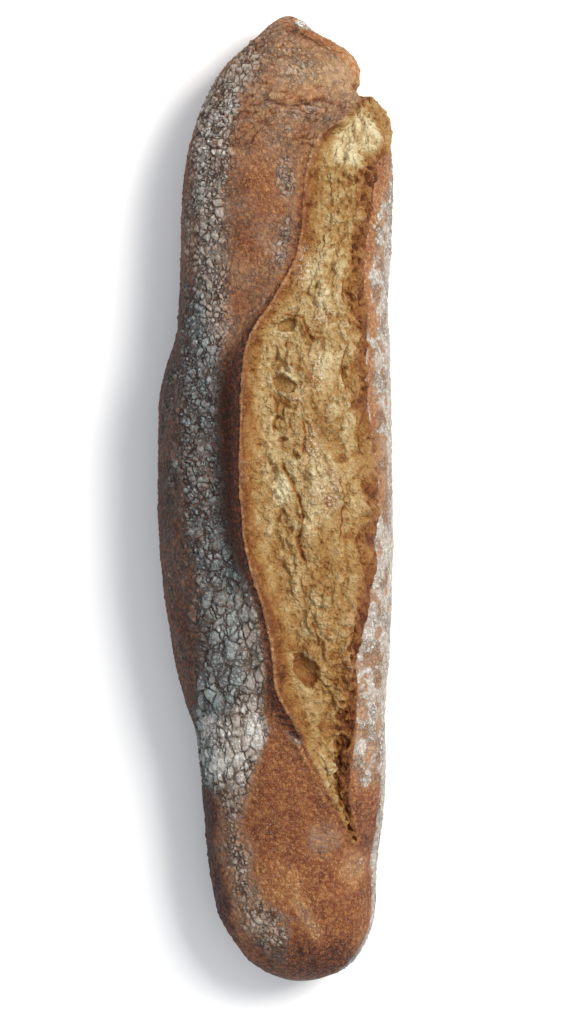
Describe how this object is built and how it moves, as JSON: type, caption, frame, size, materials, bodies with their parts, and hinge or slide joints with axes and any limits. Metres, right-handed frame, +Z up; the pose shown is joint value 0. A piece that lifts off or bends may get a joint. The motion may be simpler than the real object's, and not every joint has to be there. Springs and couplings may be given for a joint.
{
  "type": "baguette",
  "caption": "Short rustic baguette with a floury, crackled crust and one long slash, its ear lifted along one side and the crumb risen in the opening.",
  "frame": {"origin": "on the surface the loaf lies on, under the middle of its bounding box", "axes": "+Y along the loaf to its pointed head, where the ear folds over; +Z up through the crown; +X to the side that the slash opens towards"},
  "size_m": [0.0772, 0.32, 0.0567],
  "materials": {
    "baked_crust": "matt baked crust, brown to golden, with white flour"
  },
  "bodies": {
    "root": {"loaf": "baked_crust"}
  },
  "joints": []
}
